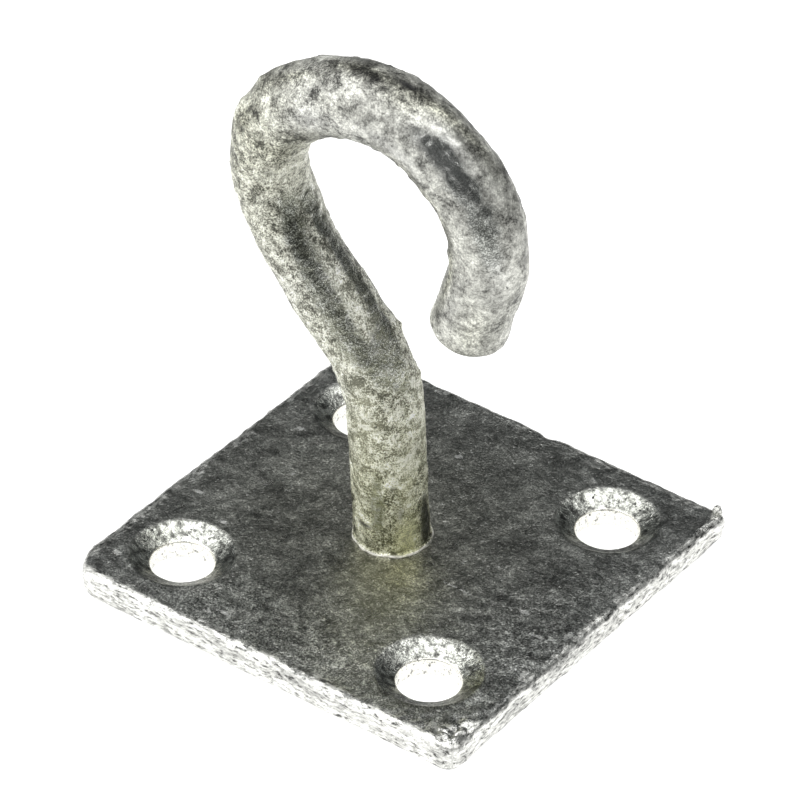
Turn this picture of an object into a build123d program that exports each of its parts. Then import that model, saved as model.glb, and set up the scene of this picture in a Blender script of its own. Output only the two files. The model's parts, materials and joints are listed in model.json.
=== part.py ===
from build123d import *
from math import radians, tan
import os

# Hook on a plate: a round steel bar bent into an open hook and riveted through the middle
# of a square steel plate, which has a countersunk screw hole at each corner. The whole
# thing was dipped in zinc once it was together. Lengths are millimetres, angles degrees.
# The origin is the middle of the plate's back face, +Z points away from the wall, and the
# hook curls over towards +X.

# Plate, cropped from flat bar; the corner at -X, -Y came out of the press blunter than the rest
plate_side = 50.0
plate_thickness = 3.4
plate_corner_radius = 1.5
blunt_corner_radius = 3.6
plate_edge_radius = 0.9

# Screw holes, punched a little off the plate's middle
hole_diameter = 6.9
hole_spacing = 32.2
holes_off_middle = -0.5
countersink_diameter = 11.2
countersink_angle = 120.0

# Bar of the hook, from the plate to the cut end
bar_diameter = 8.1
shank_length = 17.0
neck_radius = 15.6
neck_angle = 34.8
neck_length = 13.5
curl_radius = 13.3
curl_angle = 231.5
tip_length = 8.0
tip_edge_radius = 0.9

# How the bar stands on the plate: both angles are 0 on a hook that is set true
foot_x = -1.2
foot_y = 0.2
hook_lean = 6.0
hook_turn = 2.6

# Tenon under the bar's shoulder, its hole, and the head hammered out flush with the back
tenon_diameter = 6.0
tenon_clearance = 0.05
rivet_head_diameter = 9.0
rivet_head_angle = 90.0

os.makedirs("parts", exist_ok=True)

plate_top = Plane.XY.offset(plate_thickness)
foot_top = Plane((foot_x, foot_y, plate_thickness))
foot_back = Plane((foot_x, foot_y, 0), z_dir=(0, 0, -1))
rivet_head_height = (rivet_head_diameter - tenon_diameter) / 2 / tan(radians(rivet_head_angle / 2))


# The plate is rounded along its rims and open for four screws and the tenon
with BuildPart() as plate:
    with BuildSketch(Plane.XY) as outline:
        Rectangle(plate_side, plate_side)
        diagonal = Axis((0, 0, 0), (1, 1, 0))
        fillet(outline.vertices().sort_by(diagonal)[1:], plate_corner_radius)
        fillet(outline.vertices().sort_by(diagonal)[0], blunt_corner_radius)
    extrude(amount=plate_thickness)
    flats = plate.faces().filter_by(Axis.Z)
    fillet(flats.edges(), plate_edge_radius)

    with Locations(plate_top):
        with Locations((holes_off_middle, 0)):
            with GridLocations(hole_spacing, hole_spacing, 2, 2):
                CounterSinkHole(
                    hole_diameter / 2,
                    countersink_diameter / 2,
                    counter_sink_angle=countersink_angle,
                )

    with Locations(foot_back):
        CounterSinkHole(
            tenon_diameter / 2 + tenon_clearance,
            rivet_head_diameter / 2,
            counter_sink_angle=rivet_head_angle,
        )

plate.part.label = "plate"
export_step(plate.part, "parts/plate.step")


# The bar follows one flat path: shank, neck bend away from the mouth, then the curl over it
hook_plane = foot_top.rotated((90 + hook_lean, 0, 0)).rotated((0, 0, hook_turn))

with BuildPart() as hook:
    with BuildLine(hook_plane) as centreline:
        shank = Line((0, -bar_diameter), (0, shank_length))
        neck_bend = JernArc(shank @ 1, shank % 1, neck_radius, neck_angle)
        neck = Line(neck_bend @ 1, neck_bend @ 1 + (neck_bend % 1) * neck_length)
        curl = JernArc(neck @ 1, neck % 1, curl_radius, -curl_angle)
        Line(curl @ 1, curl @ 1 + (curl % 1) * tip_length)
    with BuildSketch(Plane(shank @ 0, z_dir=shank % 0)):
        Circle(bar_diameter / 2)
    sweep(path=centreline.wires()[0])
    tip_face = hook.faces().sort_by_distance(centreline.line @ 1)[0]
    fillet(tip_face.edges(), min(tip_edge_radius, bar_diameter / 2 - 0.1))

    # the leaning bar is trimmed flat where its shoulder sits on the plate
    split(bisect_by=plate_top, keep=Keep.TOP)

    with BuildSketch(foot_top):
        Circle(tenon_diameter / 2)
    extrude(amount=-plate_thickness)
    with BuildSketch(foot_back):
        Circle(rivet_head_diameter / 2)
    extrude(amount=-rivet_head_height, taper=rivet_head_angle / 2)

hook.part.label = "hook"
export_step(hook.part, "parts/hook.step")
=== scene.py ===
import itertools
import json
import math

import bpy
import numpy as np
from mathutils import Matrix, Vector


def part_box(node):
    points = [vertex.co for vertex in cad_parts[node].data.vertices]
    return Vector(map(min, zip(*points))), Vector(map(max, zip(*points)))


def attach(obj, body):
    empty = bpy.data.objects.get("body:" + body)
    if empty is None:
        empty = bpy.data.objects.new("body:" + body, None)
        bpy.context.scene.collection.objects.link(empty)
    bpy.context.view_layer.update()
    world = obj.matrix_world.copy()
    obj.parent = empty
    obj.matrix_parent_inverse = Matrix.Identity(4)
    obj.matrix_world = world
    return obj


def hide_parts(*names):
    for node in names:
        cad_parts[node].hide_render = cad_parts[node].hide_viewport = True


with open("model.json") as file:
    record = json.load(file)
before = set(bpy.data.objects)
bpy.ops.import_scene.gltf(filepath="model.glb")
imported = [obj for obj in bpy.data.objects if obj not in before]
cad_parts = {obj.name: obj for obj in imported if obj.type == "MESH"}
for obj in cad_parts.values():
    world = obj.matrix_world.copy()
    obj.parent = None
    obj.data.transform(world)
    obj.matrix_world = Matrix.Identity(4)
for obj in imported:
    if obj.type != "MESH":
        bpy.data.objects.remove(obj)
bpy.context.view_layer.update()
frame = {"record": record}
MM = 0.001

# The plate: a square cropped from 3.4 mm flat steel, its rims rolled over by the press, with
# four countersunk screw holes and a fifth hole that the hook's tenon fills. Dipped in zinc,
# it is dull and dark on the flats and bright where the zinc ran thick on rims and in holes.
plate_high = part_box("plate")[1]
half_side = plate_high.x / MM
thickness = plate_high.z / MM
screw_holes = next(m for m in frame["record"]["mounts"] if m["name"] == "screw_holes")
hole_radius = screw_holes["dims"]["hole_r_mm"]
hole_reach = screw_holes["dims"]["spacing_x_mm"] / 2
holes_x = screw_holes["pos_m"][0] / MM
hole_columns = (holes_x - hole_reach, holes_x + hole_reach)
hole_rows = (-hole_reach, hole_reach)
hole_centres = np.array(list(itertools.product(hole_columns, hole_rows)))
sink_radius = 5.6
sink_angle = math.radians(120)
sink_depth = (sink_radius - hole_radius) / math.tan(sink_angle / 2)
lip = 0.22
foot_x, foot_y = -1.2, 0.2
tenon_radius = 3.0
tenon_play = 0.05
rivet_radius = 4.5
corner_radius = 1.5
blunt_corner_radius = 4.2
rim_roll = 0.85
rim_width = 1.9
flat_half = half_side - rim_width
grid_step = 0.3
screw_patch_half = 6.6
foot_patch_half = 5.3


def lumps(points, pitch, seed):
    """Smooth noise: a random height, -1 to 1, at each corner of a lattice of that pitch,
    blended inside the cell by a smoothstep in x, y and z."""
    heights = np.random.default_rng(seed).uniform(-1, 1, 4099)
    cell = np.floor(points / pitch).astype(np.int64)
    part = points / pitch - cell
    part = part * part * (3 - 2 * part)
    total = np.zeros(len(points))
    for corner in itertools.product((0, 1), repeat=3):
        key = (cell + corner) @ np.array([7919, 104729, 1299709])
        weight = np.prod(np.where(corner, part, 1 - part), axis=1)
        total += weight * heights[key % len(heights)]
    return total


def mound(points, centre, reach):
    """A single bump: the bell exp(-d^2) of the distance d from centre, with d in reaches."""
    return np.exp(-(((points - np.array(centre)) / np.array(reach)) ** 2).sum(axis=1))


def mounds(points, table):
    """The sum of the bumps in a table of (place, reach, amount)."""
    return sum(amount * mound(points, centre, reach) for centre, reach, amount in table)


def grid_faces(rows, columns, closed):
    """Quads between neighbours of a grid of points numbered row by row; closed joins the
    last column to the first."""
    number = np.arange(rows * columns).reshape(rows, columns)
    if closed:
        number = np.hstack([number, number[:, :1]])
    corners = [number[:-1, :-1], number[:-1, 1:], number[1:, 1:], number[1:, :-1]]
    return np.stack(corners, axis=-1).reshape(-1, 4)


def weld(pieces):
    """Joins (points, faces) pieces into one, with points that share a place made one point."""
    offsets = np.cumsum([0] + [len(points) for points, _ in pieces[:-1]])
    points = np.vstack([points for points, _ in pieces])
    faces = np.vstack([quads + offset for (_, quads), offset in zip(pieces, offsets)])
    _, first, same = np.unique(np.round(points, 5), axis=0, return_index=True, return_inverse=True)
    return points[first], same.reshape(-1)[faces]


def point_normals(points, faces):
    """Unit normal at each point: the sum of the cross products of its faces' diagonals."""
    corner = points[faces]
    cross = np.cross(corner[:, 2] - corner[:, 0], corner[:, 3] - corner[:, 1])
    total = np.zeros_like(points)
    for k in range(4):
        np.add.at(total, faces[:, k], cross)
    return total / np.maximum(np.linalg.norm(total, axis=1, keepdims=True), 1e-12)


def make_mesh(name, points, faces, marks):
    """A smooth-shaded object of these points (mm) and faces, with point attributes."""
    mesh = bpy.data.meshes.new(name)
    corners = [list(dict.fromkeys(face)) for face in faces.tolist()]
    mesh.from_pydata((points * MM).tolist(), [], corners)
    for mark, values in marks.items():
        if values.ndim == 1:
            layer = mesh.attributes.new(mark, "FLOAT", "POINT")
            layer.data.foreach_set("value", values.astype(np.float32))
        else:
            layer = mesh.attributes.new(mark, "FLOAT_VECTOR", "POINT")
            layer.data.foreach_set("vector", values.astype(np.float32).ravel())
    mesh.shade_smooth()
    piece = bpy.data.objects.new(name, mesh)
    bpy.context.scene.collection.objects.link(piece)
    return piece


def stops(marks):
    """Grid lines between the marks, each stretch divided evenly at about the grid's step."""
    runs = [np.linspace(a, b, 1 + round((b - a) / grid_step)) for a, b in zip(marks, marks[1:])]
    return np.unique(np.round(np.concatenate(runs), 6))


def square_loop(xs, ys):
    """The points round a rectangle of grid lines, anticlockwise from its lowest corner."""
    low = np.column_stack([xs, np.full(len(xs), ys[0])])
    right = np.column_stack([np.full(len(ys), xs[-1]), ys])
    return np.vstack([low[:-1], right[:-1], (low + [0, ys[-1] - ys[0]])[::-1][:-1],
                      (right - [xs[-1] - xs[0], 0])[::-1][:-1]])


def hole_patch(centre, half, xs, ys, profile):
    """The square of plate round a hole: its outline shrinks to a circle at the top, which is
    carried down through the profile's (radius, height) pairs, and grows back at the bottom."""
    square = square_loop(xs[abs(xs - centre[0]) < half + 1e-4], ys[abs(ys - centre[1]) < half + 1e-4])
    ray = square - centre
    ray = ray / np.linalg.norm(ray, axis=1, keepdims=True)
    spread = np.linspace(0, 1, 8)[:, None, None]
    rings = np.array([centre + ray * radius for radius, _ in profile])
    heights = np.array([height for _, height in profile])
    top = square * (1 - spread) + rings[0] * spread
    bottom = rings[-1] * (1 - spread) + square * spread
    rows = np.concatenate([top[:-1], rings, bottom[1:]])
    level = np.concatenate([np.full(len(top) - 1, thickness), heights, np.zeros(len(bottom) - 1)])
    level = np.broadcast_to(level[:, None, None], rows.shape[:2] + (1,))
    rows = np.concatenate([rows, level], axis=2)
    return rows.reshape(-1, 3), grid_faces(len(rows), len(square), True)


def bend_profile(corners, step=0.13):
    """Straight runs between (radius, height) corners, divided evenly at about the step."""
    pairs = list(zip(corners, corners[1:]))
    runs = [np.linspace(a, b, 1 + max(1, round(math.dist(a, b) / step))) for a, b in pairs]
    return np.vstack([run[:-1] for run in runs] + [runs[-1][-1:]])


def rounded_square(loop, inset):
    """The loop's points moved out to a square that is inset by that much, whose corners are
    arcs: a point past an arc's centre both ways is drawn onto the arc."""
    reach = half_side - inset
    place = loop / flat_half * reach
    radius = np.where((loop < 0).all(axis=1), blunt_corner_radius, corner_radius)
    radius = np.maximum(radius - inset, 0.15)[:, None]
    past = abs(place) - (reach - radius)
    on_arc = past / np.maximum(np.linalg.norm(past, axis=1, keepdims=True), 1e-9) * radius
    curved = np.sign(place) * (reach - radius + on_arc)
    return np.where((past > 0).all(axis=1)[:, None], curved, place)


def plate_surface():
    """Two flat grids with square gaps, a patch for each hole, and a rim strip round them."""
    p, f = screw_patch_half, foot_patch_half
    near, far = hole_columns
    xs = stops([-flat_half, near - p, near + p, foot_x - f, foot_x + f, far - p, far + p, flat_half])
    low, high = hole_rows
    ys = stops([-flat_half, low - p, low + p, foot_y - f, foot_y + f, high - p, high + p, flat_half])
    gx, gy = np.meshgrid(xs, ys)
    flat = np.column_stack([gx.ravel(), gy.ravel()])
    quads = grid_faces(len(ys), len(xs), False)
    middle = flat[quads].mean(axis=1)
    tenon_centre = np.array((foot_x, foot_y))
    solid = (abs(middle - tenon_centre) > f).any(axis=1)
    for centre in hole_centres:
        solid &= (abs(middle - centre) > p).any(axis=1)
    quads = quads[solid]
    top = np.column_stack([flat, np.full(len(flat), thickness)])
    back = np.column_stack([flat, np.zeros(len(flat))])
    pieces = [(top, quads), (back, quads[:, ::-1])]

    throat = thickness - sink_depth
    screw_profile = bend_profile([
        (sink_radius + lip, thickness), (sink_radius, thickness - lip * 0.3),
        (sink_radius - lip, thickness - lip * 0.8), (hole_radius + 0.06, throat),
        (hole_radius, throat - 0.1), (hole_radius, lip), (hole_radius + lip, 0)])
    for centre in hole_centres:
        pieces.append(hole_patch(centre, p, xs, ys, screw_profile))
    snug = tenon_radius + tenon_play
    tenon_profile = bend_profile([(snug, thickness), (snug, rivet_radius - snug), (rivet_radius, 0)], 0.5)
    pieces.append(hole_patch(tenon_centre, f, xs, ys, tenon_profile))

    loop = square_loop(xs, ys)
    turn = np.linspace(0, math.pi / 2, 7)
    over = np.column_stack([rim_roll * (1 - np.sin(turn)), thickness - rim_roll * (1 - np.cos(turn))])
    under = np.column_stack([rim_roll * (1 - np.cos(turn)), rim_roll * (1 - np.sin(turn))])
    side = np.linspace(over[-1], under[0], 9)[1:-1]
    fall = np.vstack([over, side, under])
    strip = [np.column_stack([rounded_square(loop, inset), np.full(len(loop), z)]) for inset, z in fall]
    spread = np.linspace(0, 1, 6)[:, None, None]
    inner_top = np.column_stack([loop, np.full(len(loop), thickness)])
    inner_back = np.column_stack([loop, np.zeros(len(loop))])
    rows = np.concatenate([
        (inner_top * (1 - spread) + strip[0] * spread)[:-1], strip,
        (strip[-1] * (1 - spread) + inner_back * spread)[1:]])
    pieces.append((rows.reshape(-1, 3), grid_faces(len(rows), len(loop), True)[:, ::-1]))
    return weld(pieces)


def bead(centre, size, seed):
    """A frozen drop of zinc: a ball stretched to size, each point pushed in or out by noise;
    its rows run from pole to pole."""
    rows, columns = 17, 28
    down = np.linspace(0, math.pi, rows)[:, None]
    round_it = np.arange(columns) / columns * 2 * math.pi
    ball = np.stack([np.sin(down) * np.cos(round_it), np.sin(down) * np.sin(round_it),
                     np.cos(down) * np.ones(columns)], axis=-1).reshape(-1, 3)
    swollen = ball * (1 + 0.22 * lumps(ball, 0.6, seed) + 0.12 * lumps(ball, 0.25, seed))[:, None]
    return weld([(np.array(centre) + swollen * np.array(size), grid_faces(rows, columns, True)[:, ::-1])])


points, faces = plate_surface()
outward = point_normals(points, faces)
rim_distance = half_side - abs(points[:, :2]).max(axis=1)
on_side = np.clip(1 - rim_distance / rim_width, 0, 1)

# The zinc's own shape, pushed out or in along the surface: low waves all over, a ragged rim,
# knocks and drips given as (place, reach, rise), and a crust at the corner nearest the camera
relief = 0.035 * lumps(points, 3.1, 1) + 0.022 * lumps(points, 1.1, 2) + 0.012 * lumps(points, 0.55, 3)
ragged = 0.11 * lumps(points, 2.3, 4) + 0.1 * lumps(points, 0.9, 5) + 0.05 * lumps(points, 0.5, 6)
knocks = [
    ((-23.4, -24.7, 2.2), 0.9, 0.3), ((2.7, -24.9, 2.6), 1.0, -0.35), ((1.9, 24.9, 3.0), 0.8, -0.4),
    ((23.3, -23.4, 3.4), 1.1, 0.22), ((21.6, -24.0, 3.3), 0.8, 0.16), ((24.4, -21.4, 3.0), 0.8, -0.2),
    ((19.0, -24.4, 3.2), 0.7, -0.2), ((24.7, 23.8, 2.4), 1.3, 0.28), ((24.6, 14.0, 3.0), 1.2, -0.22),
    ((24.6, 3.0, 3.0), 1.5, 0.14), ((-12.0, -24.6, 0.8), 1.4, -0.25), ((10.0, -24.7, 3.0), 1.4, 0.14)]
relief += mounds(points, knocks)
crust = mound(points, (22.0, -23.2, 3.2), (4.0, 1.8, 1.5))
crust += mound(points, (23.6, -20.5, 3.2), (1.4, 4.0, 1.5))
relief += crust * (0.22 * lumps(points, 0.9, 8) + 0.14 * lumps(points, 0.5, 9))
above_back = np.clip(points[:, 2] / 0.5, 0, 1)
points = points + outward * (above_back * (relief + on_side * ragged))[:, None]
points[:, 2] = np.maximum(points[:, 2], 0)

# How far each point is from the nearest screw hole, and how much it lies on the side of the hole that gets
# painted shade, from -1 to 1; then where the bores and the countersinks are, from 0 to 1
every_point = np.arange(len(points))
aside = points[:, None, :2] - hole_centres
distances = np.linalg.norm(aside, axis=2)
nearest = np.argmin(distances, axis=1)
from_holes = distances[every_point, nearest]
# Painted shade falls on the side of each countersink that lies this way from the hole's middle
shaded_way = np.array([0.58, -0.81])
shaded_side = aside[every_point, nearest] @ shaded_way / np.maximum(from_holes, 1)
on_wall = np.clip((hole_radius + 0.2 - from_holes) / 0.1, 0, 1)
on_cone = np.clip((sink_radius + 0.1 - from_holes) / 0.5, 0, 1) * (1 - on_wall)
in_holes = np.clip((sink_radius + 0.15 - from_holes) / 0.3, 0, 1)
# Painted shade: the bright bore colour is taken back on each countersink's side that faces away from the
# light
in_holes *= 1 - np.clip((shaded_side - 0.45) / 0.3, 0, 1) * (1 - on_wall)

# Lay is the place, drawn out along the edge on the rim, so that a pattern on it streaks
long_x = (abs(points[:, 1]) > abs(points[:, 0]))[:, None]
lay = np.where(long_x, points * (0.3, 1, 1), points * (1, 0.3, 1))
lay = np.where((on_side > 0)[:, None], lay, points)

# Lighter and darker patches of the flat, as (place, reach, amount): partly the zinc's own uneven tone and
# partly painted light, lighter towards the front and right edges, with a painted reflection of the shank
# beside the foot; and bright flakes on it, as (place, reach)
flat_places = points[:, :2]
tone_and_light_patches = [
    ((-12, -20), 5.0, 0.35), ((-4, -21), 5.0, 0.35), ((8, -19), 4.0, 0.3), ((20, -19), 4.0, 0.25),
    ((22, -10), 3.0, 0.35), ((22.5, 2), 3.0, 0.25), ((4.5, -4.5), 2.2, 0.7), ((8, -8), 3.2, 0.4),
    ((-20, -6), 3.0, 0.2), ((14, 4), 5.0, -0.15), ((-16, 4), 5.0, 0.15), ((-8, -3), 4.0, -0.12),
    ((16, 10), 3.0, 0.1), ((2, 14), 6.0, -0.1), ((-2, -10), 4.0, 0.1), ((20, 20), 4.0, -0.1)]
tone_and_painted_light = mounds(flat_places, tone_and_light_patches)
# Painted shade: the countersinks are darker on their side that faces away from the light
tone_and_painted_light -= 0.45 * np.clip((shaded_side - 0.1) / 0.8, 0, 1) * on_cone
flakes = [
    ((-22.0, -20.4), (0.7, 0.5)), ((-21.7, -6.7), (0.9, 0.3)), ((-7.1, -21.5), (1.2, 0.4)),
    ((17.6, -2.2), (0.7, 0.4)), ((23.6, -2.7), (0.5, 1.0)), ((23.6, -10.5), (0.5, 1.2)),
    ((20.9, -4.7), (1.2, 0.3)), ((-8.5, -22.3), (0.8, 0.4)), ((22.6, -22.2), (0.5, 0.5)),
    ((21.0, -22.6), (0.5, 0.4)), ((-16.5, -9.3), (0.6, 0.4)), ((9.8, -3.2), (2.4, 0.2)),
    ((-12.6, -16.9), (0.5, 0.3)), ((13.4, -11.4), (1.0, 0.25)), ((2.0, -16.0), (0.4, 0.4)),
    ((-20, 9), (0.8, 0.3)), ((12.0, 17.0), (0.4, 0.7)), ((-3.5, 15.5), (0.5, 0.5)),
    ((19.4, -22.9), (0.5, 0.35)), ((22.9, -20.0), (0.35, 0.8))]
glint = np.clip(sum(mound(flat_places, centre, reach) for centre, reach in flakes), 0, 1)
glint = np.maximum(glint * (points[:, 2] > 2), 0.6 * np.clip(crust, 0, 1))
# Warmth: a painted warm reflection of the shank beside the foot, and a broad warm tint of the zinc round
# the middle
warmth = 0.55 * mound(flat_places, (4.5, -5.5), 4.5) + 0.5 * mound(flat_places, (-4, 0), 20.0)
busy = 0.62 + 0.5 * mound(flat_places, (22, -8), (9, 16)) + 0.5 * mound(flat_places, (-2, -21), (18, 6))
rim_mark = on_side + 0.22 * lumps(points, 3.7, 7) * (on_side > 0) - 0.15 * (points[:, 0] > 22.5)
marks = {
    "rim": rim_mark, "bore": in_holes, "wall": on_wall, "busy": busy, "lay": lay, "tone_and_painted_light": tone_and_painted_light,
    "warmth": np.clip(warmth, 0, 1), "glint": glint}

# Beads on the corners, as (place, size, seed, how much of the rim's brightness they have)
beads = [
    ((24.15, 24.35, 3.55), (0.55, 0.5, 0.8), 21, 1.0), ((24.5, 23.6, 3.0), (0.55, 0.8, 0.5), 22, 1.0),
    ((22.6, -22.9, 3.15), (1.0, 0.7, 0.5), 23, 0.5), ((23.7, -21.9, 3.0), (0.6, 0.9, 0.55), 24, 0.5),
    ((21.3, -23.6, 3.0), (0.9, 0.6, 0.5), 25, 0.5), ((23.5, -23.6, 2.9), (0.7, 0.7, 0.6), 26, 0.5)]
for centre, size, seed, shine in beads:
    drop, quads = bead(centre, size, seed)
    faces = np.vstack([faces, quads + len(points)])
    points = np.vstack([points, drop])
    level = {"rim": shine, "busy": 1.0, "glint": 0.6}
    extra = {name: np.full(len(drop), level.get(name, 0.0)) for name in marks} | {"lay": drop}
    marks = {name: np.concatenate([values, extra[name]]) for name, values in marks.items()}
plate = make_mesh("plate_zinc_coated", points, faces, marks)
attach(plate, "root")
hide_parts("plate")


def feed(tree, made, inputs):
    """Gives each input of a shader node its value, or links it to a socket."""
    for key, value in inputs.items():
        if isinstance(value, bpy.types.NodeSocket):
            tree.links.new(value, made.inputs[key])
        else:
            made.inputs[key].default_value = value


def node(tree, kind, inputs=(), **settings):
    """Adds a shader node with these settings and inputs."""
    made = tree.nodes.new(kind)
    for name, value in settings.items():
        setattr(made, name, value)
    feed(tree, made, dict(inputs))
    return made


def new_material(name):
    """A new material, its node tree and its Principled BSDF."""
    material = bpy.data.materials.new(name)
    material.use_nodes = True
    tree = material.node_tree
    return material, tree, tree.nodes["Principled BSDF"]


def mark(tree, name, output="Fac"):
    """The value of a point attribute of the mesh."""
    return node(tree, "ShaderNodeAttribute", attribute_name=name).outputs[output]


def noise(tree, vector, scale, detail, roughness=0.65, distortion=0.0):
    """The height of a noise texture, mostly between 0.25 and 0.75."""
    return node(tree, "ShaderNodeTexNoise", {
        "Vector": vector, "Scale": scale, "Detail": detail, "Roughness": roughness,
        "Distortion": distortion}).outputs["Fac"]


def math_node(tree, operation, *values):
    """The result of a Math node on these values."""
    return node(tree, "ShaderNodeMath", dict(enumerate(values)), operation=operation).outputs[0]


def vector_node(tree, operation, inputs):
    """The vector that a Vector Math node makes of these inputs."""
    return node(tree, "ShaderNodeVectorMath", inputs, operation=operation).outputs[0]


def weighed(tree, *parts):
    """The sum of (value, weight) parts."""
    total = 0.0
    for value, weight in parts:
        total = math_node(tree, "MULTIPLY_ADD", value, weight, total)
    return total


def swayed(tree, value, by, amount):
    """The value raised or lowered by how far another is from one half, times the amount."""
    return math_node(tree, "MULTIPLY_ADD", math_node(tree, "SUBTRACT", by, 0.5), amount, value)


def span(tree, value, low, high, out_low=0.0, out_high=1.0):
    """The value's stretch from low to high, spread over another stretch."""
    return node(tree, "ShaderNodeMapRange", {
        "Value": value, "From Min": low, "From Max": high,
        "To Min": out_low, "To Max": out_high}).outputs[0]


def ramp(tree, value, *stops_and_levels, tint=(1.0, 1.0, 1.0)):
    """A colour ramp through (position, grey level) stops, tinted."""
    made = node(tree, "ShaderNodeValToRGB", {"Fac": value})
    bar = made.color_ramp.elements
    while len(bar) < len(stops_and_levels):
        bar.new(1.0)
    for element, (position, level) in zip(bar, stops_and_levels):
        element.position = position
        element.color = (level * tint[0], level * tint[1], level * tint[2], 1)
    return made.outputs["Color"]


def mix(tree, amount, under, over, blend="MIX"):
    """One colour laid over another by an amount from 0 to 1."""
    return node(tree, "ShaderNodeMix", {0: amount, 6: under, 7: over},
                data_type="RGBA", blend_type=blend).outputs[2]


def scaled(tree, colour, factor):
    """A colour made that many times as bright, up to white."""
    lit = vector_node(tree, "SCALE", {0: colour, 3: factor})
    return vector_node(tree, "MINIMUM", {0: lit, 1: (1, 1, 1)})


def zinc_skin():
    """Node group: what hot-dip zinc does to any surface, out of Object coordinates in mm.
    Mottle is a rough cloud of all sizes, Speck a fine one and Blotch a softer, wider one.
    Grain is rounded crystals with dark seams. Fibres are thin crystals, turned at random in
    each cell of a cell pattern. Patch is broad. A Fleck is where a noise peaks, and a Pit
    where one dips. Height is grain and mottle, less the pits, for the bump."""
    group = bpy.data.node_groups.new("zinc_skin", "ShaderNodeTree")
    place = node(group, "ShaderNodeTexCoord").outputs["Object"]
    mm = vector_node(group, "SCALE", {0: place, 3: 1000.0})
    warp = node(group, "ShaderNodeTexNoise", {"Vector": mm, "Scale": 1.4, "Detail": 4.0})
    warped = vector_node(group, "MULTIPLY_ADD", {0: warp.outputs["Color"], 1: (0.9, 0.9, 0.9), 2: mm})
    cells = node(group, "ShaderNodeTexVoronoi", {"Vector": warped, "Scale": 0.95})
    full_turn = 6.283
    turned = vector_node(group, "SCALE", {0: cells.outputs["Color"], 3: full_turn})
    crystal = node(group, "ShaderNodeVectorRotate", {"Vector": mm, "Rotation": turned},
                   rotation_type="EULER_XYZ").outputs[0]
    thin = vector_node(group, "MULTIPLY", {0: crystal, 1: (0.7, 4.2, 4.2)})
    rounded = node(group, "ShaderNodeTexVoronoi", {"Vector": warped, "Scale": 2.7})
    outputs = {
        "Mottle": span(group, noise(group, mm, 0.85, 7.0, 0.78, 0.3), 0.3, 0.7),
        "Speck": span(group, noise(group, mm, 6.0, 1.0, 0.6), 0.32, 0.68),
        "Blotch": span(group, noise(group, mm, 0.5, 4.0, 0.6, 0.6), 0.3, 0.7),
        "Fibres": span(group, noise(group, thin, 1.0, 2.0), 0.3, 0.7),
        "Grain": span(group, rounded.outputs["Distance"], 0.75, 0.1),
        "Patch": span(group, noise(group, mm, 0.26, 5.0, distortion=0.5), 0.35, 0.65),
        "Fleck": span(group, noise(group, mm, 2.4, 2.0), 0.65, 0.71),
        "Pit": span(group, noise(group, mm, 1.5, 3.0, distortion=0.6), 0.34, 0.27),
    }
    rise = math_node(group, "MULTIPLY_ADD", outputs["Grain"], 0.6, outputs["Mottle"])
    outputs["Height"] = math_node(group, "MULTIPLY_ADD", outputs["Pit"], -1.2, rise)
    for name in outputs:
        group.interface.new_socket(name, in_out="OUTPUT", socket_type="NodeSocketFloat")
    node(group, "NodeGroupOutput", outputs)
    return group


skin = zinc_skin()


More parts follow.
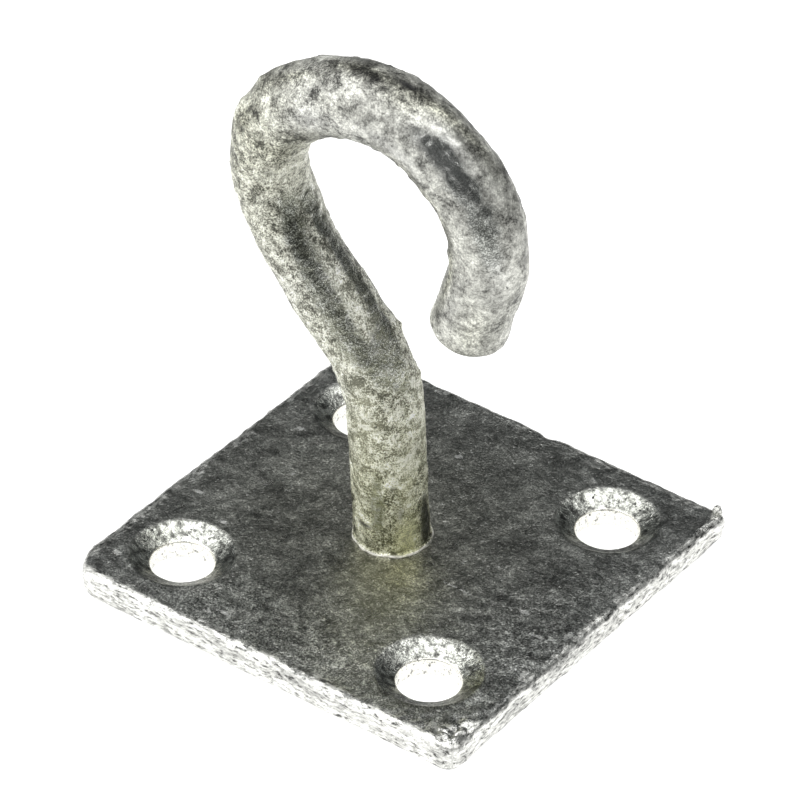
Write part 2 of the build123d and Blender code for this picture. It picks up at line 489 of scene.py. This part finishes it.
def plate_zinc():
    """Dull grey-green flats; past the rim and down the holes the bright zinc takes over, streaked along
    the rim and specked with black in the countersinks, whose side facing away from the light is darker, a
    painted shade, and rougher."""
    material, tree, surface = new_material("plate_zinc")
    zinc = node(tree, "ShaderNodeGroup", node_tree=skin).outputs
    blend = weighed(tree, (zinc["Mottle"], 0.4), (zinc["Speck"], 0.25), (zinc["Fibres"], 0.25),
                    (zinc["Grain"], 0.1))
    blend = swayed(tree, 0.5, blend, mark(tree, "busy"))
    dull = ramp(tree, blend, (0.25, 0.07), (0.5, 0.26), (0.72, 0.8), tint=(0.98, 1.0, 0.96))
    cloud = ramp(tree, zinc["Patch"], (0.0, 0.8), (1.0, 1.25))
    flats = mix(tree, 1.0, dull, cloud, "MULTIPLY")
    # Tone scales the flats: partly the zinc's own patches, partly painted light and painted shade
    flats = scaled(tree, flats, math_node(tree, "ADD", mark(tree, "tone_and_painted_light"), 1.0))
    warm = mix(tree, 1.0, flats, (1.0, 0.97, 0.8, 1), "MULTIPLY")
    flats = mix(tree, mark(tree, "warmth"), flats, warm)
    flats = mix(tree, math_node(tree, "MULTIPLY", zinc["Fleck"], 0.8), flats, (0.95, 0.95, 0.9, 1))
    flaky = weighed(tree, (mark(tree, "glint"), 0.8), (zinc["Mottle"], 0.5), (zinc["Speck"], 0.3))
    flats = mix(tree, span(tree, flaky, 0.78, 0.95), flats, (1.0, 1.0, 0.96, 1))

    lay = mark(tree, "lay", "Vector")
    streaks = noise(tree, lay, 3.0, 5.0, 0.75)
    broad = noise(tree, lay, 0.6, 6.0, 0.75)
    bright = ramp(tree, streaks, (0.36, 0.04), (0.42, 0.35), (0.49, 0.72), (0.58, 0.95),
                  tint=(1.0, 1.0, 0.95))
    bright = mix(tree, 1.0, bright, ramp(tree, broad, (0.36, 0.5), (0.5, 0.92), (0.6, 1.1)), "MULTIPLY")
    torn = swayed(tree, mark(tree, "rim"), broad, 2.4)
    frayed = swayed(tree, torn, zinc["Mottle"], 0.9)
    colour = mix(tree, span(tree, frayed, 0.42, 0.52), flats, bright)

    drifts = noise(tree, lay, 1.15, 4.0, 0.6)
    spots = noise(tree, lay, 2.0, 4.0, 0.75)
    shades = ramp(tree, drifts, (0.38, 0.22), (0.48, 0.7), (0.6, 1.1), tint=(0.98, 1.0, 0.97))
    sink = ramp(tree, blend, (0.35, 0.2), (0.45, 0.6), (0.6, 0.95), tint=(1.0, 1.0, 0.95))
    sink = mix(tree, 1.0, sink, shades, "MULTIPLY")
    sink = mix(tree, span(tree, spots, 0.4, 0.37), sink, (0.03, 0.03, 0.03, 1))
    wall = ramp(tree, spots, (0.36, 0.08), (0.4, 0.7), (0.5, 0.88), tint=(1.0, 0.99, 0.92))
    colour = mix(tree, mark(tree, "bore"), colour, mix(tree, mark(tree, "wall"), sink, wall))

    rough = span(tree, zinc["Patch"], 0.0, 1.0, 0.27, 0.4)
    rough = math_node(tree, "MULTIPLY_ADD", mark(tree, "bore"), -0.12, rough)
    rough = math_node(tree, "ADD", rough, span(tree, mark(tree, "tone_and_painted_light"), -0.16, -0.4, 0.0, 0.5))
    bump = node(tree, "ShaderNodeBump", {"Height": zinc["Height"], "Strength": 0.7, "Distance": 0.00004})
    feed(tree, surface, {
        "Base Color": colour, "Metallic": 1.0, "Roughness": rough, "Normal": bump.outputs["Normal"]})
    return material


plate.data.materials.append(plate_zinc())


# The hook: one 8 mm round bar, bent over a former into a neck and an open curl, its foot
# turned down to a tenon that is hammered over in the plate's back. The dip left it lumpy,
# with a thin ring of zinc where it stands on the plate.
bar_radius = 4.05
shank_length = 17.0
neck_radius = 15.6
neck_angle = math.radians(34.8)
neck_length = 13.5
curl_radius = 13.3
curl_angle = math.radians(231.5)
tip_length = 8.0
tip_round = 0.9
hook_lean = math.radians(6.0)
hook_turn = math.radians(2.6)
ring_size = 0.27
around = 144
row_step = 0.185
fine_height = 0.8

stand = np.array(Matrix.Rotation(hook_turn, 3, "Z") @ Matrix.Rotation(hook_lean, 3, "X"))
foot = np.array([foot_x, foot_y, thickness])


def summed(values, step):
    """The running sum of a curve's values, by the trapezium rule, from 0."""
    return np.concatenate([[0], np.cumsum((values[1:] + values[:-1]) / 2 * step)])


def centreline(step=0.02):
    """The bar's middle as arc length, (u, v) places and heading: the heading is the sum of
    the curvature so far, and the place is the sum of the heading's sine and cosine."""
    neck_bend, curl = neck_radius * neck_angle, curl_radius * curl_angle
    ends = np.cumsum([shank_length, neck_bend, neck_length, curl, tip_length])
    bends = np.array([0, -1 / neck_radius, 0, 1 / curl_radius, 0])
    s = np.arange(0, ends[-1] + step, step)
    stretch = np.minimum(np.searchsorted(ends, s), len(bends) - 1)
    heading = summed(bends[stretch], step)
    return s, summed(np.sin(heading), step), summed(np.cos(heading), step), heading


def hook_surface():
    """A circle carried along the centreline. At the tip it shrinks round a soft edge to a
    point; at the foot its rows are slanted onto the plate, then drawn in to the tenon, which
    runs down to the rivet's head and closes at the back."""
    s_all, u_all, v_all, heading_all = centreline()
    total = s_all[-1]
    angle = np.arange(around) / around * 2 * math.pi
    cosine, sine = np.cos(angle), np.sin(angle)

    tip_start = total - tip_round
    fine_rows = np.linspace(0, fine_height, 13)
    even_rows = np.linspace(fine_height, tip_start, round(tip_start / row_step))
    body = np.concatenate([fine_rows[:-1], even_rows])
    turn = np.linspace(0, math.pi / 2, 7)[1:]
    closing = np.linspace(bar_radius - tip_round, 0, 13)[1:]
    station = np.concatenate([body, tip_start + tip_round * np.sin(turn), np.full(len(closing), total)])
    edge = bar_radius - tip_round + tip_round * np.cos(turn)
    reach = np.concatenate([np.full(len(body), bar_radius), edge, closing])
    ring = ring_size * np.sqrt(np.clip(1 - (station / ring_size - 0.6) ** 2, 0, 1))
    uneven = 1 + 0.6 * np.cos(angle - 5.9) + 0.2 * np.sin(angle * 7) + 0.15 * np.sin(angle * 13)
    reach = reach[:, None] + ring[:, None] * uneven

    lift = stand[2, 1] * sine + stand[2, 0] * cosine
    start = -bar_radius * lift / stand[2, 2]
    slant = np.clip(1 - station / 3.0, 0, 1)[:, None] * start
    s = station[:, None] + slant
    u, v = np.interp(s, s_all, u_all), np.interp(s, s_all, v_all) + np.minimum(s, 0)
    heading = np.interp(s, s_all, heading_all)
    side, out = reach * cosine, reach * sine
    local = np.stack([u + side * np.cos(heading), out, v - side * np.sin(heading)], axis=-1)
    normal = np.stack([
        cosine * np.cos(heading), sine * np.ones_like(s), -cosine * np.sin(heading)], axis=-1)
    rows = local @ stand.T + foot
    normal = normal @ stand.T

    turned = np.stack([cosine, sine], axis=-1) @ stand[:2, :2].T
    profile = bend_profile([
        (bar_radius - 0.3, thickness), (tenon_radius, thickness),
        (tenon_radius, rivet_radius - tenon_radius), (rivet_radius - 0.12, 0.08),
        (rivet_radius - 0.25, 0), (0, 0)], 0.5)[::-1]
    under = np.array([np.column_stack([foot[:2] + turned * r, np.full(around, z)]) for r, z in profile])
    grid = np.concatenate([under, rows])
    normals = np.concatenate([np.zeros_like(under), normal])
    return grid, normals, np.concatenate([np.zeros(len(under)), station])


grid, outward, station = hook_surface()
points = grid.reshape(-1, 3)
outward = outward.reshape(-1, 3)
height = np.repeat(station, around)
turned = np.tile(np.arange(around) * 360 / around, len(station))


def bar_patch(along, round_at, length, spread):
    """A bell-shaped patch of the bar, with its middle that many mm along the bar and degrees
    round it, and its reach given as mm and degrees as well."""
    aside = (turned - round_at + 180) % 360 - 180
    return np.exp(-((height - along) / length) ** 2 - (aside / spread) ** 2)


# Runs of zinc that bulge the bar's outline or leave it thin, as (along, round, rise), and
# the places where the zinc froze rough, as patches
zinc_runs = [
    (26, 230, -0.13), (33, 230, 0.17), (42, 228, -0.27), (45, 223, -0.26), (53.7, 196, 0.42),
    (57.3, 178, 0.26), (61.5, 157, -0.12), (65, 145, -0.14), (71.8, 133, 0.16), (78.6, 130, -0.17),
    (89.5, 144, -0.2), (98, 160, -0.2), (20, 42, 0.14), (26, 49, 0.18), (35, 49, -0.18),
    (37.6, 49, -0.18), (42.4, 47, 0.3), (45, 43, 0.22), (50.5, 28, -0.18), (54.3, 12, -0.26),
    (61.5, 337, 0.14), (64.6, 326, 0.2), (68, 317, 0.12), (79.6, 310, 0.2), (90, 326, 0.15),
    (101, 339, 0.2)]
swell = sum(rise * bar_patch(along, round_at, 1.7, 38) for along, round_at, rise in zinc_runs)
swell += 0.035 * lumps(points, 3.2, 11) + 0.05 * lumps(points, 1.3, 12) + 0.045 * lumps(points, 0.65, 13)
rough_runs = [
    (20, 320, 4, 45), (33, 334, 5, 16), (33, 335, 5, 13), (18, 300, 5, 40), (14, 300, 8, 60),
    (24, 262, 8, 20), (40, 262, 6, 20), (70, 236, 5, 18), (91, 205, 4, 25), (62, 262, 4, 25),
    (78, 203, 3, 12), (78, 204, 3, 10), (84, 160, 4, 25), (52, 250, 6, 60)]
roughness = sum(bar_patch(*run) for run in rough_runs)
swell += roughness * (0.07 * lumps(points, 1.1, 15) + 0.06 * lumps(points, 0.6, 16))
swell += 0.22 * np.clip(lumps(points, 0.75, 14) - 0.5, 0, 1) + 0.03 * lumps(points, 0.4, 17)

# Flakes that stand up and pits that go in, as (place, reach, rise)
flakes = [
    ((-15.2, -7.4, 56.1), 0.5, 0.25), ((-13.5, -6.8, 59.0), 0.5, 0.25), ((15.4, -3.1, 54.1), 0.6, 0.3),
    ((-1.05, 0.1, 30.5), 0.45, 0.3), ((1.55, 0.2, 25.5), 0.6, 0.3), ((10.97, -7.3, 42.35), 0.4, -0.3),
    ((1.64, -3.72, 12.65), 0.45, -0.22), ((3.9, -5.5, 64.4), 0.5, -0.2), ((10.07, -5.74, 61.4), 0.5, -0.2),
    ((8.6, -7.1, 61.9), 0.9, 0.14), ((10.64, -6.54, 60.6), 0.7, 0.14)]
swell += mounds(points, flakes)
swell *= np.clip(height / fine_height, 0, 1)
points = points + outward * swell[:, None]

# Stains in the pits and at three places more, then how strong the straw tint and the zinc's
# grain are, both by how far along the bar
stains = sum(mound(points, centre, reach * 0.8) for centre, reach, rise in flakes if rise < 0)
stains += mounds(points, [
    ((3.0, -5.7, 64.5), (1.0, 0.5, 0.35), 1.3), ((-1.7, -4.21, 6.98), (0.9, 0.6, 0.28), 1.4),
    ((2.3, -3.2, 9.0), (0.4, 0.5, 1.4), 1.2)])
warmth = np.interp(height, [0, 8, 15, 24, 35, 45, 55, 64, 104],
                   [0.6, 0.6, 0.5, 0.36, 0.22, 0.26, 0.28, 0.03, 0.08])
warmth += 0.6 * mound(points, (2.3, -1.9, 5.6), (1.4, 1.6, 2.6))
grain = np.interp(height, [0, 10, 20, 40, 55, 72, 104], [0.36, 0.42, 0.56, 0.36, 0.25, 0.12, 0.13])

# Where the zinc froze smooth and dull, as patches, and where the bar is lighter or darker, as patches with
# an amount: partly the zinc's own patchy tone, partly painted reflections and painted highlights
smooth_runs = [
    (45, 328, 2.5, 20), (42, 324, 3, 21), (39, 317, 3, 20), (36, 311, 3, 19), (33, 307, 3, 20),
    (30, 305, 3, 21), (27, 306, 3, 22), (44, 2, 2.5, 22), (40, 6, 3, 15), (37, 8, 3, 14),
    (34, 9, 3, 13), (31, 8, 3, 13), (28, 4, 3, 14), (25.5, 350, 2.5, 26), (24.5, 325, 2.5, 28),
    (22.8, 345, 1.8, 26), (78, 224, 3, 18), (81, 228, 3, 22), (84.5, 231, 3, 22), (87, 232, 2.5, 18),
    (7, 286, 4, 10), (3, 8, 3.5, 14)]
smooth = np.max([bar_patch(*run) for run in smooth_runs], axis=0)
tone_and_light_patches = [
    (34, 334, 5, 12, 0.7), (29, 338, 3, 12, 0.5), (27, 352, 4, 12, 0.3), (25, 12, 3, 12, -0.35),
    (42, 42, 4, 20, 1.8), (26, 310, 3, 16, -0.3), (30, 307, 4, 14, -0.3), (35, 309, 4, 14, -0.2),
    (40, 314, 4, 16, -0.35), (45, 326, 3, 18, -0.35), (42, 328, 3, 24, -0.2), (45, 0, 4, 20, -0.3),
    (33, 12, 6, 10, -0.2), (24, 335, 2.5, 20, -0.2), (53, 250, 3, 36, -0.25), (54, 226, 3, 16, -0.2),
    (54, 240, 4, 20, -0.15), (58, 308, 3, 16, -0.3), (62, 208, 3, 13, -0.45), (60, 190, 4, 10, 0.3),
    (67, 184, 3, 16, -0.45), (71, 182, 3, 17, -0.35), (73, 204, 2.5, 14, -0.35), (75, 178, 3, 15, -0.45),
    (79, 171, 3, 14, -0.4), (67, 248, 4, 14, -0.15), (77.5, 204, 2.5, 9, 0.7), (78, 228, 3, 12, 1.2),
    (74, 306, 5, 18, -0.5), (82, 308, 6, 18, -0.55), (90, 310, 5, 13, -0.42), (94, 312, 4, 13, -0.36),
    (90, 226, 3, 20, 0.35), (86, 232, 3, 16, -0.35), (98, 244, 3, 22, -0.35), (95, 288, 4, 12, 0.4),
    (70, 298, 3, 14, 0.4), (74, 272, 3, 12, 0.5), (3, 14, 4, 20, -0.6), (5, 34, 4, 12, -0.4),
    (6, 226, 8, 12, -0.75), (13, 262, 8, 24, 0.6), (2, 330, 2.5, 18, 2.6), (9, 332, 5, 16, 1.0),
    (8, 352, 4, 10, -0.35), (14, 335, 5, 20, 0.3), (17, 28, 5, 30, 1.4), (19, 278, 4, 26, 0.6),
    (62, 274, 3, 18, 0.7), (21, 284, 4, 16, 0.7), (38, 262, 8, 22, 0.35), (28, 256, 4, 20, 0.3),
    (50, 340, 4, 20, 0.6), (14, 345, 4, 16, 0.4)]
tone_and_painted_light = np.maximum(sum(amount * bar_patch(*patch) for *patch, amount in tone_and_light_patches), -0.8)
tone_and_painted_light += np.interp(height, [8, 16, 24, 40, 50, 60, 70, 85, 104],
                  [0.08, 0.3, 0.2, 0.03, 0.12, -0.08, -0.05, 0.0, 0.04])
# The zinc ring at the foot: near white, a painted highlight on the fillet
ring_highlight = np.clip((ring_size * 1.5 - height) / 0.1, 0, 1) * (points[:, 2] > 1)
ring_highlight *= np.clip(0.9 + lumps(points, 0.7, 18), 0.2, 1)
marks = {
    "stain": np.clip(stains, 0, 1), "warmth": np.clip(warmth, 0, 1), "smooth": smooth,
    "ring": ring_highlight, "tone_and_painted_light": tone_and_painted_light, "grain": grain}

# Of the points that share a place, weld keeps the first; its marks are kept the same way
_, kept = np.unique(np.round(points, 5), axis=0, return_index=True)
points, faces = weld([(points, grid_faces(len(grid), around, True))])
hook = make_mesh("hook_zinc_coated", points, faces, {name: values[kept] for name, values in marks.items()})
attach(hook, "root")
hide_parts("hook")


def bar_zinc():
    """Silver-grey frosted zinc, brighter and darker by patches, partly the zinc's own and partly painted
    reflections and highlights, smooth and dull in others, with black pits and a few stains. Its darker
    parts have a straw tint towards the foot, where the zinc was thick and slow to cool. The zinc ring at
    the foot is near white, a painted highlight."""
    material, tree, surface = new_material("bar_zinc")
    zinc = node(tree, "ShaderNodeGroup", node_tree=skin).outputs
    grain = mark(tree, "grain")
    blend = weighed(tree, (zinc["Mottle"], 0.42), (zinc["Blotch"], 0.3), (zinc["Grain"], 0.12))
    blend = math_node(tree, "ADD", blend, 0.08)
    blend = swayed(tree, blend, zinc["Speck"], grain)
    bold = math_node(tree, "MULTIPLY", math_node(tree, "SUBTRACT", grain, 0.25), 2.0)
    blend = swayed(tree, blend, zinc["Mottle"], bold)
    frost = ramp(tree, blend, (0.3, 0.07), (0.5, 0.48), (0.72, 1.0), tint=(1.0, 1.0, 0.935))
    cloud = ramp(tree, zinc["Patch"], (0.0, 0.68), (1.0, 1.35))
    frost = mix(tree, 1.0, frost, cloud, "MULTIPLY")

    flour = weighed(tree, (zinc["Speck"], 0.55), (zinc["Mottle"], 0.45))
    calm = ramp(tree, flour, (0.2, 0.19), (0.5, 0.3), (0.8, 0.6), tint=(0.98, 1.0, 0.96))
    edge = weighed(tree, (zinc["Patch"], 0.3), (zinc["Mottle"], 0.35))
    edge = math_node(tree, "ADD", math_node(tree, "SUBTRACT", edge, 0.325), mark(tree, "smooth"))
    frosted = span(tree, edge, 0.62, 0.2)
    colour = mix(tree, frosted, calm, frost)
    # Tone lightens or darkens the bar: partly the zinc's own patches, partly painted reflections and
    # highlights
    power = math_node(tree, "DIVIDE", 1.0, math_node(tree, "ADD", mark(tree, "tone_and_painted_light"), 1.0))
    colour = node(tree, "ShaderNodeGamma", {"Color": colour, "Gamma": power}).outputs[0]
    pitted = math_node(tree, "MULTIPLY", zinc["Pit"], 0.8)
    colour = mix(tree, pitted, colour, (0.06, 0.06, 0.055, 1))
    stained = math_node(tree, "MULTIPLY", mark(tree, "stain"), 0.9)
    colour = mix(tree, stained, colour, (0.04, 0.04, 0.04, 1))
    straw = mix(tree, 1.0, colour, (0.97, 0.97, 0.6, 1), "MULTIPLY")
    in_dark = span(tree, blend, 0.3, 0.75, 1.6, 0.45)
    colour = mix(tree, math_node(tree, "MULTIPLY", mark(tree, "warmth"), in_dark), colour, straw)
    # Painted highlight along the zinc ring at the foot
    colour = mix(tree, mark(tree, "ring"), colour, (1.0, 0.98, 0.9, 1))

    crust = math_node(tree, "MULTIPLY_ADD", zinc["Speck"], 0.3, zinc["Height"])
    crust = math_node(tree, "MULTIPLY", crust, math_node(tree, "MULTIPLY", grain, 3.4))
    crust = math_node(tree, "MULTIPLY", crust, span(tree, frosted, 0.0, 1.0, 0.3, 1.0))
    bump = node(tree, "ShaderNodeBump", {"Height": crust, "Strength": 1.0, "Distance": 0.00008})
    feed(tree, surface, {
        "Base Color": colour, "Metallic": span(tree, frosted, 0.0, 1.0, 1.0, 0.6),
        "Roughness": span(tree, frosted, 0.0, 1.0, 0.24, 0.42), "Normal": bump.outputs["Normal"]})
    return material


hook.data.materials.append(bar_zinc())


# The stage: a sheet of white paper that falls off into a dim room, a wide soft box on the
# camera's left, one overhead and a small one on the right.
floor_half = 1.5
floor_gap = 0.00002
light_distance = 0.7
light_aim = 0.03
picture_size = 800
sensor_width = 36


def make_floor():
    """A 3 m sheet just under the plate; a glow fills in the shadows near the plate, dies away between 110
    and 250 mm from its middle, and stops in a thin line under the plate's edge, a painted contact shadow."""
    corners = [(-floor_half, -floor_half), (floor_half, -floor_half),
               (floor_half, floor_half), (-floor_half, floor_half)]
    mesh = bpy.data.meshes.new("floor")
    mesh.from_pydata([(x, y, -floor_gap) for x, y in corners], [], [(0, 1, 2, 3)])
    floor = bpy.data.objects.new("floor", mesh)
    bpy.context.scene.collection.objects.link(floor)
    material, tree, surface = new_material("paper")
    place = node(tree, "ShaderNodeTexCoord").outputs["Object"]
    far = node(tree, "ShaderNodeVectorMath", {0: place}, operation="LENGTH").outputs["Value"]
    glow = ramp(tree, span(tree, far, 0.11, 0.25), (0.0, 0.95), (1.0, 0.05))
    axes = node(tree, "ShaderNodeSeparateXYZ", {0: place}).outputs
    across, along = (math_node(tree, "ABSOLUTE", axes[axis]) for axis in ("X", "Y"))
    # Painted contact shadow: a thin line without glow under the plate's edges, though not at its corners
    shadow_line_at = 0.0241
    from_shadow_line = math_node(tree, "SUBTRACT", math_node(tree, "MAXIMUM", across, along), shadow_line_at)
    off_shadow_line = span(tree, math_node(tree, "ABSOLUTE", from_shadow_line), 0.0002, 0.0004)
    past_corner = span(tree, math_node(tree, "MINIMUM", across, along), 0.019, 0.021)
    glow = scaled(tree, glow, math_node(tree, "MAXIMUM", off_shadow_line, past_corner))
    feed(tree, surface, {
        "Base Color": (0.4, 0.4, 0.4, 1), "Roughness": 1.0, "Specular IOR Level": 0.0,
        "Emission Color": glow, "Emission Strength": 1.0})
    floor.data.materials.append(material)


def toward(azimuth, elevation):
    """The unit vector in a direction given in degrees."""
    a, e = math.radians(azimuth), math.radians(elevation)
    return Vector((math.cos(a) * math.cos(e), math.sin(a) * math.cos(e), math.sin(e)))


def soft_box(name, azimuth, elevation, width, height, brightness):
    """An area light that faces the hook from that direction, as bright all over as a white
    sheet would be at that many times full white."""
    light = bpy.data.lights.new(name, "AREA")
    light.shape = "RECTANGLE"
    light.size = width
    light.size_y = height
    light.energy = brightness * math.pi * width * height
    lamp = bpy.data.objects.new(name, light)
    bpy.context.scene.collection.objects.link(lamp)
    way = toward(azimuth, elevation)
    lamp.location = way * light_distance + Vector((0, 0, light_aim))
    lamp.rotation_euler = way.to_track_quat("Z", "Y").to_euler()
    lamp.visible_camera = False


make_floor()
soft_box("left", -131, 28, 0.95, 0.9, 1.95)
soft_box("overhead", -60, 86, 0.95, 0.95, 1.9)
soft_box("right", -5, 36, 0.36, 0.5, 1.5)

world = bpy.data.worlds.new("room")
bpy.context.scene.world = world
world.use_nodes = True
background = world.node_tree.nodes["Background"]
feed(world.node_tree, background, {"Color": (0.1, 0.105, 0.105, 1), "Strength": 1.0})
bpy.context.scene.view_settings.view_transform = "Standard"


def stand_camera(azimuth, elevation, roll, distance, picture_focal, aim_above):
    """A long lens that looks at a point above the plate's middle in the picture's own up
    direction, from that azimuth and elevation, turned by roll about the line of sight."""
    back = toward(azimuth, elevation)
    level = Vector((0, 0, 1)).cross(back).normalized()
    upright = back.cross(level)
    r = math.radians(roll)
    right = level * math.cos(r) + upright * math.sin(r)
    up = upright * math.cos(r) - level * math.sin(r)
    lens = bpy.data.cameras.new("camera")
    lens.sensor_width = sensor_width
    lens.lens = sensor_width * picture_focal / picture_size
    camera = bpy.data.objects.new("camera", lens)
    bpy.context.scene.collection.objects.link(camera)
    place = Vector((0, 0, thickness * MM)) + up * aim_above + back * distance
    camera.matrix_world = Matrix((
        (right.x, up.x, back.x, place.x), (right.y, up.y, back.y, place.y),
        (right.z, up.z, back.z, place.z), (0, 0, 0, 1)))
    bpy.context.scene.camera = camera


stand_camera(-54.49, 36.17, 1.47, 0.5654, 5343, 0.01459)
